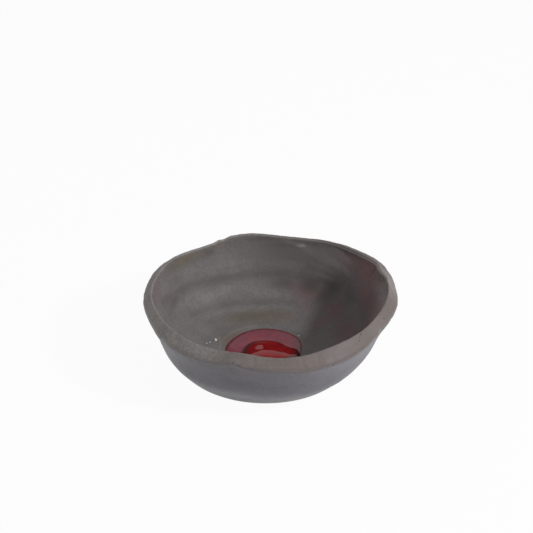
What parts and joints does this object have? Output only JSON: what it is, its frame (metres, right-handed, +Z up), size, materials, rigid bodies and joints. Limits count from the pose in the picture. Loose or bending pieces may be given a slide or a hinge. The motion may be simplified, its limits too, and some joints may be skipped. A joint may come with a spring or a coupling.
{
  "type": "terra sigillata bowl",
  "caption": "Hand-pinched, slip-burnished clay bowl with a slumped, flattened rim, throwing rings inside and red glass melted into a shallow well in its floor.",
  "frame": {"origin": "middle of the flat underside, on the surface that the bowl stands on", "axes": "+Z up out of the mouth; -Y towards the lowest stretch of the rim, which is the front; +X towards the side where the mouth has slumped outwards"},
  "size_m": [0.1506, 0.1527, 0.0513],
  "materials": {
    "burnished_clay": "burnished slip",
    "thin_glass": "gloss",
    "red_glass": "gloss",
    "clear_glass": "gloss"
  },
  "bodies": {
    "root": {"clay_bowl": "burnished_clay", "glaze_film": "thin_glass", "glass_lump": "red_glass", "glass_beads": "clear_glass"}
  },
  "joints": []
}
